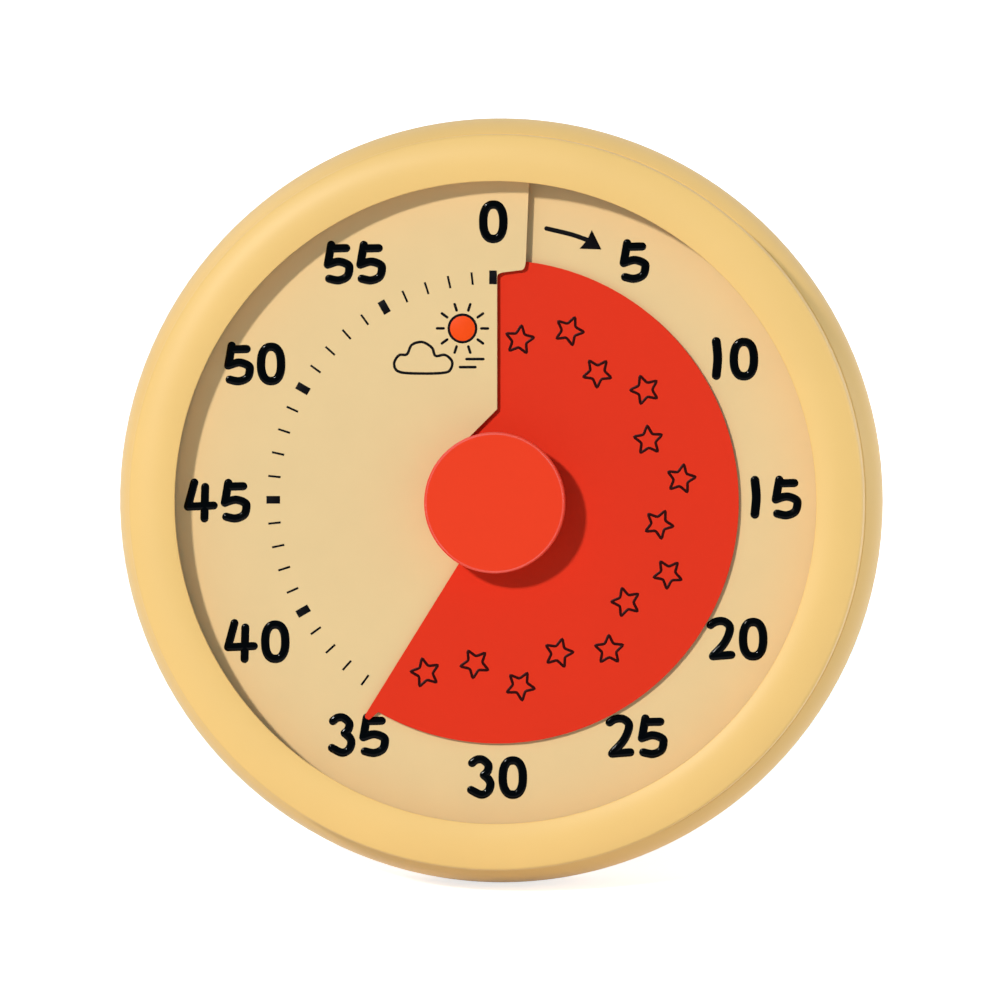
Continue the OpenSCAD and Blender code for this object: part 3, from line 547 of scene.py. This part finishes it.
# %% Section of the ring
# The section's points are millimetres outward from the dial's axis and forward from its centre
OPENING_R, RING_R = 79.6, 91.2
FACE_R, FACE_MID = 15.0, Vector((84.1, -4.8))
RING_WALL = 2.2
LIP_Z, SEAM_Z, TONGUE_Z, SHELF_Z = 2.25, -2.0, -5.6, -6.0
TONGUE_IN, TONGUE_OUT = 87.3, 88.9
inner_edge, outer_edge = 0.25, 1.2
inner_draft = 0.5
seam_chamfer = 0.35
boss_count, boss_from = 6, 90
boss_ring_r, boss_r, boss_top = 85.4, 2.8, 9.1
bore_r, bore_top = 1.3, 4.5


def arc(middle, radius, start, end, steps):
    """Points along an arc in the section, with angles in degrees from outward to forward."""
    turns = (math.radians(start + (end - start) * k / steps) for k in range(steps + 1))
    return [middle + radius * Vector((math.cos(t), math.sin(t))) for t in turns]


def edge_middle(radius, rounding):
    """Middle of an edge's rounding that runs smoothly into the arched face, and its angle there."""
    across = radius - FACE_MID.x
    middle = FACE_MID + Vector((across, math.sqrt((FACE_R - rounding) ** 2 - across ** 2)))
    return middle, math.degrees(math.atan2(middle.y - FACE_MID.y, across))


inner_middle, inner_turn = edge_middle(OPENING_R + inner_edge, inner_edge)
outer_middle, outer_turn = edge_middle(RING_R - outer_edge, outer_edge)
roof_r = FACE_R - RING_WALL
roof_from, roof_to = (math.degrees(math.acos((r - FACE_MID.x) / roof_r))
                      for r in (RING_R - RING_WALL, OPENING_R + RING_WALL))
section = [Vector((OPENING_R + inner_draft, LIP_Z))]
section += arc(inner_middle, inner_edge, 180, inner_turn, steps=6)
section += arc(FACE_MID, FACE_R, inner_turn, outer_turn, steps=40)[1:-1]
section += arc(outer_middle, outer_edge, outer_turn, 0, steps=8)
section += [Vector(p) for p in (
    (RING_R, SEAM_Z + seam_chamfer), (RING_R - seam_chamfer, SEAM_Z), (TONGUE_OUT, SEAM_Z),
    (TONGUE_OUT, TONGUE_Z), (TONGUE_IN, TONGUE_Z), (TONGUE_IN, SEAM_Z + RING_WALL),
    (RING_R - RING_WALL, LIP_Z))]
section += arc(FACE_MID, roof_r, roof_from, roof_to, steps=12)
section += [Vector((OPENING_R + RING_WALL, LIP_Z))]
print("ring section of", len(section), "points")


# %% Front ring
def turned_section(section, sides):
    """Points and faces of a closed section turned round the dial's axis."""
    count = len(section)
    points = [(*on_dial(spot.x, 360 * k / sides), spot.y) for k in range(sides) for spot in section]
    faces = [(k * count + i, k * count + (i + 1) % count, j * count + (i + 1) % count, j * count + i)
             for k, j in ((k, (k + 1) % sides) for k in range(sides)) for i in range(count)]
    return points, faces


def tube(x, y, inner_r, outer_r, low, high, sides=32):
    """Points and faces of a tube along the dial's axis."""
    wall = [(inner_r, low), (outer_r, low), (outer_r, high), (inner_r, high)]
    points = [(x + r * math.cos(2 * math.pi * k / sides), y + r * math.sin(2 * math.pi * k / sides), z)
              for k in range(sides) for r, z in wall]
    faces = [(4 * k + i, 4 * k + (i + 1) % 4, 4 * j + (i + 1) % 4, 4 * j + i)
             for k, j in ((k, (k + 1) % sides) for k in range(sides)) for i in range(4)]
    return points, faces


parts = [turned_section(section, sides=360)]
for k in range(boss_count):
    at = on_dial(boss_ring_r, boss_from - 360 / boss_count * k)
    parts.append(tube(*at, bore_r, boss_r, SHELF_Z, bore_top))
    parts.append(post(*at, boss_r, bore_top, boss_top, sides=32))
ring = add_piece("bezel_ring_fine", *joined(parts), ABS_CREAM, "casing")
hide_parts("bezel_ring")

# %% [markdown]
# ## Raised ink
# The numbers are screen printed with a thick gloss ink that swells as it cures, so each stroke is a
# low dome with round ends, and the lamp leaves a small glint on it. A curve object with a bevel could
# draw it, but its dome would be as high as it is wide and wouldn't follow the climbing sheet. Here a
# stroke is a mesh along a centre line, with a width and a height, and each end is half a dome.


# %% A smooth curve
def curve(points, closed=False, steps=7):
    """Points of a smooth curve through the given ones."""
    count = len(points)
    spans = count if closed else count - 1

    def at(i):
        return points[i % count] if closed else points[max(0, min(count - 1, i))]

    path = []
    for i in range(spans):
        a, b, c, d = (Vector(at(i + k)) for k in (-1, 0, 1, 2))
        for k in range(steps):
            t = k / steps
            path.append(0.5 * (2 * b + (c - a) * t + (2 * a - 5 * b + 4 * c - d) * t ** 2
                               + (3 * b - a - 3 * c + d) * t ** 3))
    return path if closed else path + [Vector(points[-1])]


# %% A domed stroke
cap_angles = (25, 45, 62, 76, 86)


def stroke(path, width, height, level, closed=False, sides=12):
    """Points and faces of a low domed stroke along a path, on a surface given by level(x, y)."""
    radius = width / 2
    stations = [(point, 1.0) for point in path]
    if not closed:
        start, end = (path[0] - path[1]).normalized(), (path[-1] - path[-2]).normalized()
        caps = [math.sin(math.radians(a)) for a in cap_angles]
        first = [(path[0] + start * radius * c, math.sqrt(1 - c * c)) for c in reversed(caps)]
        last = [(path[-1] + end * radius * c, math.sqrt(1 - c * c)) for c in caps]
        stations = first + stations + last
    count = len(stations)
    points = []
    for i, (point, share) in enumerate(stations):
        after = stations[(i + 1) % count if closed else min(i + 1, count - 1)][0]
        before = stations[(i - 1) % count if closed else max(i - 1, 0)][0]
        along = (after - before).normalized()
        across = Vector((along.y, -along.x))
        for k in range(sides):
            turn = 2 * math.pi * k / sides
            spot = point + across * radius * share * math.cos(turn)
            points.append((spot.x, spot.y, level(spot.x, spot.y) + height * share * math.sin(turn)))
    faces = [(i * sides + k, i * sides + (k + 1) % sides, j * sides + (k + 1) % sides, j * sides + k)
             for i, j in ((i, (i + 1) % count) for i in range(count if closed else count - 1))
             for k in range(sides)]
    if not closed:
        faces += [tuple(range(sides)), tuple(range((count - 1) * sides, count * sides))]
    return points, faces


# %% A flat print
# Each ring of its points as a share of the outline and a share of the height
print_edges = ((1.0, -1.0), (1.0, 0.6), (0.985, 1.0))


def patch(outline, height, level):
    """Points and faces of a flat print of a given outline, with its edge drawn in at the top."""
    count = len(outline)
    middle = sum((Vector(p) for p in outline), Vector((0, 0))) / count
    points = []
    for share, lift in print_edges:
        for p in outline:
            spot = middle + (Vector(p) - middle) * share
            points.append((spot.x, spot.y, level(spot.x, spot.y) + lift * height))
    faces = [(k + ring, (k + 1) % count + ring, (k + 1) % count + ring + count, k + ring + count)
             for ring in (0, count) for k in range(count)]
    faces += [tuple(range(count)), tuple(range(2 * count, 3 * count))]
    return points, faces


# %% The faces that are printed on
def dial_turn(x, y):
    """Height of the dial sheet's face in its one full turn from 0."""
    return dial_level(math.degrees(math.atan2(x, y)) % 360) + DIAL_T / 2


def dial_top(x, y):
    """Height of the face that is seen. Right of 0 the upper sheet's end laps over the slit."""
    lapped = y > 0 and math.hypot(x, y) > SLIT_STEP_Y and 0 <= x < SLIT_LAP
    return dial_turn(x, y) + (PITCH if lapped else 0)


def disc_top(x, y):
    """Height of the red disc's face, for the turn that ends at its leading edge."""
    angle = math.degrees(math.atan2(x, y)) % 360
    return disc_level(angle if angle <= SET_ANGLE else angle - 360) + DISC_T / 2


# %% Numbers
print_shift = Vector((-0.2, 0.6))
digit_w = {"0": 7.0, "1": 2.5, "2": 7.15, "3": 6.8, "4": 8.15, "5": 7.1}
stroke_w = {"0": 2.15, "1": 2.25, "2": 2.1, "3": 2.1, "4": 2.05, "5": 2.1}
oval_middle, oval_half = (3.5, 5.4), (2.5, 4.25)
oval_power = 0.85
oval_points = 32


def squared(value):
    """A sine or cosine, drawn out so that a circle gets fuller corners."""
    return math.copysign(abs(value) ** oval_power, value)


oval_turns = [2 * math.pi * k / oval_points for k in range(oval_points)]
oval = [(oval_middle[0] + oval_half[0] * squared(math.cos(t)),
         oval_middle[1] + oval_half[1] * squared(math.sin(t))) for t in oval_turns]
digit_lines = {
    "0": [(oval, True)],
    "1": [([(0.95, 9.75), (1.3, 5.7), (0.95, 1.35)], False)],
    "2": [([(1.1, 8.9), (2.4, 9.7), (4.3, 9.8), (5.8, 8.6), (5.6, 6.6), (4.3, 4.1), (1.9, 1.5)], False),
          ([(1.7, 1.15), (6.2, 1.5)], False)],
    "3": [([(1.2, 9.0), (2.3, 9.8), (3.8, 9.8), (5.2, 8.5), (5.0, 6.95), (4.1, 6.0)], False),
          ([(4.1, 6.0), (5.3, 4.9), (5.75, 3.6), (5.1, 1.9), (3.4, 1.15), (0.95, 2.3)], False)],
    "4": [([(2.5, 10.0), (0.9, 4.1)], False), ([(0.9, 4.0), (7.3, 4.3)], False),
          ([(5.2, 8.9), (5.0, 1.1)], False)],
    "5": [([(1.8, 9.9), (0.95, 5.0)], False), ([(1.8, 9.0), (5.5, 9.1)], False),
          ([(0.95, 5.0), (3.6, 5.75), (5.9, 5.0), (6.3, 3.9), (5.7, 2.0), (3.6, 1.1), (1.3, 1.5)], False)],
}
number_place = {
    0: (68.9, -0.6), 5: (68.2, 30.0), 10: (68.7, 59.5), 15: (69.3, 89.6),
    20: (68.9, 120.1), 25: (68.2, 149.5), 30: (69.0, 179.9), 35: (68.0, 210.4),
    40: (69.3, 239.3), 45: (69.5, 269.6), 50: (68.8, 299.2), 55: (68.4, 329.0),
}
digit_gap = 1.0
wide_gap = {10: 1.8, 15: 2.7}
digit_height = 10.9
ink_height = 0.28

for number, (radius, angle) in number_place.items():
    text = str(number)
    gap = wide_gap.get(number, digit_gap)
    total = sum(digit_w[d] for d in text) + gap * (len(text) - 1)
    corner = Vector(on_dial(radius, angle)) + print_shift - Vector((total / 2, digit_height / 2))
    parts = []
    for digit in text:
        for line, closed in digit_lines[digit]:
            path = [corner + point for point in curve(line, closed)]
            parts.append(stroke(path, stroke_w[digit], ink_height, dial_top, closed))
        corner = corner + Vector((digit_w[digit] + gap, 0))
    add_piece(f"number_{number:02d}", *joined(parts), INK_BLACK, "casing", crease=70)
print(len(number_place), "numbers")

# %% [markdown]
# ## Flat ink
# The minute marks and the arrow are printed in one thin pass, so they are flat, with sharp edges. They
# could be painted into the sheet's colour, but a thin mesh stays sharp in a close view and keeps its
# form when the model is exported. The mark at 0 stands beside the slit.

# %% Minute marks
mark_r = 55.26
mark_shift = Vector((-0.43, 0.41))
five_size = (1.9, 3.4)
minute_size = (0.52, 3.1)
minute_turn = 6
slit_gap = 0.05
ink_thin = 0.04

parts = []
for minute in range(60):
    width, length = five_size if minute % 5 == 0 else minute_size
    way = Vector(on_dial(1, minute * minute_turn))
    across = Vector((way.y, -way.x))
    middle = way * mark_r + mark_shift
    if minute == 0:
        middle.x = -width / 2 - slit_gap
    corners = [middle + across * a * width / 2 + way * b * length / 2
               for a, b in ((-1, -1), (1, -1), (1, 1), (-1, 1))]
    parts.append(patch(corners, ink_thin, dial_turn))
add_piece("minute_marks", *joined(parts), INK_FLAT, "casing")

# %% Arrow
arrow_path = [(12.1, 67.75), (18.2, 66.3), (22.3, 64.9)]
arrow_head = [(25.75, 62.55), (23.35, 67.4), (22.2, 64.9), (20.3, 62.75)]
arrow_w, arrow_height = 1.15, 0.12
parts = [stroke(curve(arrow_path), arrow_w, arrow_height, dial_top),
         patch(arrow_head, arrow_height, dial_top)]
add_piece("arrow", *joined(parts), INK_FLAT, "casing", crease=70)

# %% [markdown]
# ## Pictures
# The dial carries a small sun and a cloud in outline, and the disc a row of outlined stars. They are
# drawn with the same strokes as the numbers, only thinner and lower, as one thin pass of ink. The stars
# ride on the disc, so they wind out of the slit with it.

# %% Sun and cloud
line_w, line_height = 0.68, 0.06
fill_height = 0.03
sun_at, sun_r, sun_points = Vector((-8.6, 43.0)), 3.4, 24
ray_count, ray_start, ray_end = 10, 1.3, 2.9
cloud = [(-24.3, 32.2), (-25.6, 34.2), (-24.4, 36.3), (-22.4, 36.6), (-21.2, 38.9), (-18.6, 39.6),
         (-16.2, 38.2), (-15.3, 36.2), (-12.9, 36.4), (-11.2, 34.8), (-11.6, 32.8), (-13.2, 32.0),
         (-18.6, 31.8)]
breeze = ((-9.2, -5.4, 33.4), (-7.6, -3.4, 35.4))


def sun_circle(radius):
    """Points of a circle round the sun's middle."""
    return [sun_at + Vector(on_dial(radius, 360 / sun_points * k)) for k in range(sun_points)]


parts = []
for k in range(ray_count):
    way = Vector(on_dial(1, 360 / ray_count * (k + 0.5)))
    ray = [sun_at + way * (sun_r + ray_start), sun_at + way * (sun_r + ray_end)]
    parts.append(stroke(ray, line_w, line_height, dial_top))
parts.append(stroke(sun_circle(sun_r), line_w, line_height, dial_top, closed=True))
parts.append(stroke(curve(cloud, closed=True), line_w, line_height, dial_top, closed=True))
for x0, x1, y in breeze:
    parts.append(stroke([Vector((x0, y)), Vector((x1, y))], line_w, line_height, dial_top))
add_piece("sun_and_cloud_lines", *joined(parts), INK_FLAT, "casing", crease=70)
filled = patch(sun_circle(sun_r - line_w / 3), fill_height, dial_top)
add_piece("sun_fill", *filled, INK_ORANGE, "casing")

# %% Stars on the disc
star_r, star_waist, star_corners = 3.8, 1.8, 10
star_count, star_from, star_step = 23, 9, 15
star_rings = (46.0, 40.5)
star_line_w = 0.7
corner_reach, corner_pull = 0.16, 0.04

parts = []
for k in range(star_count):
    turn = SET_ANGLE - star_from - star_step * k
    middle = Vector(on_dial(star_rings[k % 2], turn))
    outline = []
    for corner in range(star_corners):
        reach = star_waist if corner % 2 else star_r
        outline.append(middle + Vector(on_dial(reach, turn + 360 / star_corners * corner)))
    soft = []
    for i, point in enumerate(outline):
        to_before, to_after = outline[i - 1] - point, outline[(i + 1) % star_corners] - point
        soft += [point + to_before * corner_reach, point + (to_before + to_after) * corner_pull,
                 point + to_after * corner_reach]
    parts.append(stroke(soft, star_line_w, line_height, disc_top, closed=True, sides=8))
add_piece("disc_stars", *joined(parts), INK_MAROON, "disc", crease=70)

# %% [markdown]
# ## Size
# Prints and refined pieces have to stay inside the frame's box.

# %% Size
import json
